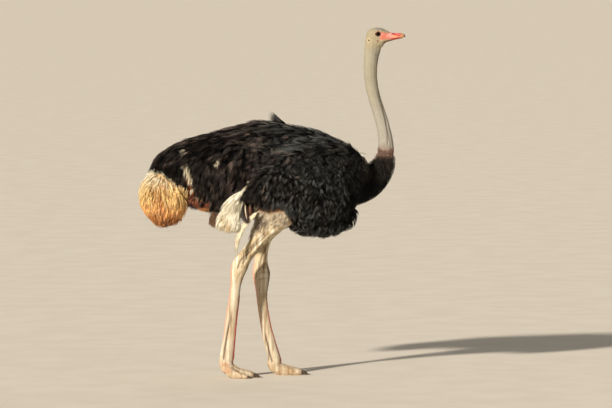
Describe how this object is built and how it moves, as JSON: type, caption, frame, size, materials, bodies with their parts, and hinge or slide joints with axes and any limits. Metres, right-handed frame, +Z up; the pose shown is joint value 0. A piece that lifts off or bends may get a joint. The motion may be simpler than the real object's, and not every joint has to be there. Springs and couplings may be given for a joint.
{
  "type": "ostrich",
  "caption": "Standing adult male ostrich with raised neck, folded wings and drooping tail plumes, as a still life-size model.",
  "frame": {"origin": "on the ground, under the middle of the bird's overall box", "axes": "+X towards the bill, +Y to the bird's left, +Z up"},
  "size_m": [1.6006, 0.5952, 2.0929],
  "materials": {
    "skin": "soft, downy and matt",
    "leg_skin": "scaly and matt",
    "black_feathers": "soft and curly",
    "tail_feathers": "soft and wavy",
    "white_feathers": "soft and wavy",
    "bill": "smooth horn",
    "eye": "wet gloss",
    "claw": "worn horn"
  },
  "bodies": {
    "root": {"head": "skin", "bill_upper": "bill", "bill_lower": "bill", "eye_right": "eye", "eye_left": "eye", "ear_right": "skin", "ear_left": "skin", "neck_upper": "skin", "neck_middle": "skin", "neck_lower": "skin", "neck_base": "black_feathers", "trunk": "black_feathers", "wing_right": "black_feathers", "wing_left": "black_feathers", "wing_plumes_right": "white_feathers", "wing_plumes_left": "white_feathers", "loose_plume_right": "white_feathers", "tail": "tail_feathers", "thigh_right": "leg_skin", "shank_right": "leg_skin", "tarsus_right": "leg_skin", "toe_third_right": "leg_skin", "toe_fourth_right": "leg_skin", "claw_third_right": "claw", "claw_fourth_right": "claw", "thigh_left": "leg_skin", "shank_left": "leg_skin", "tarsus_left": "leg_skin", "toe_third_left": "leg_skin", "toe_fourth_left": "leg_skin", "claw_third_left": "claw", "claw_fourth_left": "claw"}
  },
  "joints": []
}
